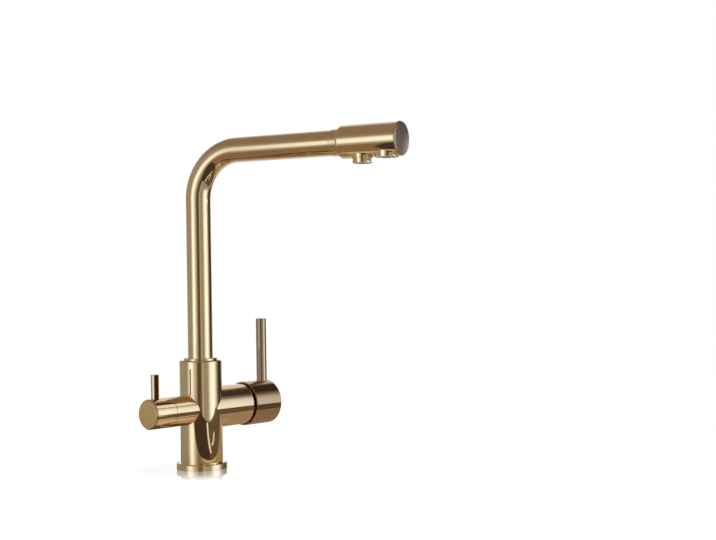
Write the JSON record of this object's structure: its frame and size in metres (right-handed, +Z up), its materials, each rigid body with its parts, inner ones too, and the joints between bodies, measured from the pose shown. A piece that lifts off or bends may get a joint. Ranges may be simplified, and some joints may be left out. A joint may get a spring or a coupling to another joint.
{
  "type": "three way filtered water tap",
  "caption": "Kitchen mixer tap with a swivelling right angle spout, a side lever mixer, a quarter turn filtered water valve and two separate outlets in the spout's head",
  "frame": {"origin": "centre of the tap's underside, where it sits on the worktop", "axes": "+Z up along the column, +X towards the mixer handle, -X towards the filter handle, -Y to the front"},
  "size_m": [0.1618, 0.2525, 0.3377],
  "materials": {
    "polished_gold": "polished light gold over brass",
    "brushed_gold": "fine brushed light gold",
    "plain_brass": "machined brass",
    "rubber": "matt black rubber",
    "ceramic": "polished alumina ceramic",
    "white_plastic": "off-white moulded plastic",
    "grey_plastic": "mid-grey moulded plastic",
    "steel": "stainless steel"
  },
  "bodies": {
    "column": {"column_body": "polished_gold", "inlet_block": "plain_brass", "base_flange": "polished_gold", "base_seal": "rubber", "swivel_collar": "polished_gold", "spout_screw": "steel", "tube_seal": "rubber", "cartridge_base": "white_plastic", "cartridge_seals": "rubber", "cartridge_housing": "white_plastic", "cartridge_fixed_disc": "ceramic", "cartridge_nut": "plain_brass", "mixer_dome": "polished_gold", "valve_body": "plain_brass", "valve_seal": "rubber", "valve_fixed_disc": "ceramic"},
    "mixer_carrier": {"cartridge_carrier": "white_plastic", "stem_pin": "steel"},
    "mixer_disc": {"moving_disc": "ceramic", "disc_driver": "white_plastic"},
    "mixer_handle": {"cartridge_stem": "plain_brass", "mixer_cap": "polished_gold", "mixer_lever": "polished_gold", "mixer_screw": "steel"},
    "filter_handle": {"valve_spindle": "plain_brass", "valve_moving_disc": "ceramic", "filter_knob": "polished_gold", "filter_plate": "brushed_gold", "filter_lever": "polished_gold", "filter_screw": "steel"},
    "spout": {"spout_tube": "polished_gold", "spout_spigot": "plain_brass", "spout_rings": "rubber", "inner_tube": "white_plastic", "head_neck": "polished_gold", "spout_head": "polished_gold", "head_cap": "brushed_gold", "filtered_elbow": "plain_brass", "filtered_nozzle": "polished_gold", "filtered_insert": "grey_plastic", "aerator_housing": "polished_gold", "aerator_insert": "grey_plastic"}
  },
  "joints": [
    {"name": "spout_swivel", "type": "hinge", "parent": "column", "child": "spout", "pos_m": [0, 0, 0.11], "axis": [0, 0, 1], "continuous": true},
    {"name": "mixer_temperature", "type": "hinge", "parent": "column", "child": "mixer_carrier", "pos_m": [0.045, 0, 0.0605], "axis": [1, 0, 0], "range_deg": [-45, 45]},
    {"name": "mixer_flow", "type": "hinge", "parent": "mixer_carrier", "child": "mixer_handle", "pos_m": [0.045, 0, 0.0605], "axis": [0, 1, 0], "range_deg": [0, 25]},
    {"name": "disc_slide", "type": "slide", "parent": "mixer_carrier", "child": "mixer_disc", "axis": [0, 0, 1], "range_m": [0, 0.00574]},
    {"name": "filter_turn", "type": "hinge", "parent": "column", "child": "filter_handle", "pos_m": [-0.05, 0, 0.0605], "axis": [1, 0, 0], "range_deg": [0, 90]}
  ],
  "couplings": [
    {"joint": "disc_slide", "follows": "mixer_flow", "m_per_rad": 0.013155}
  ]
}
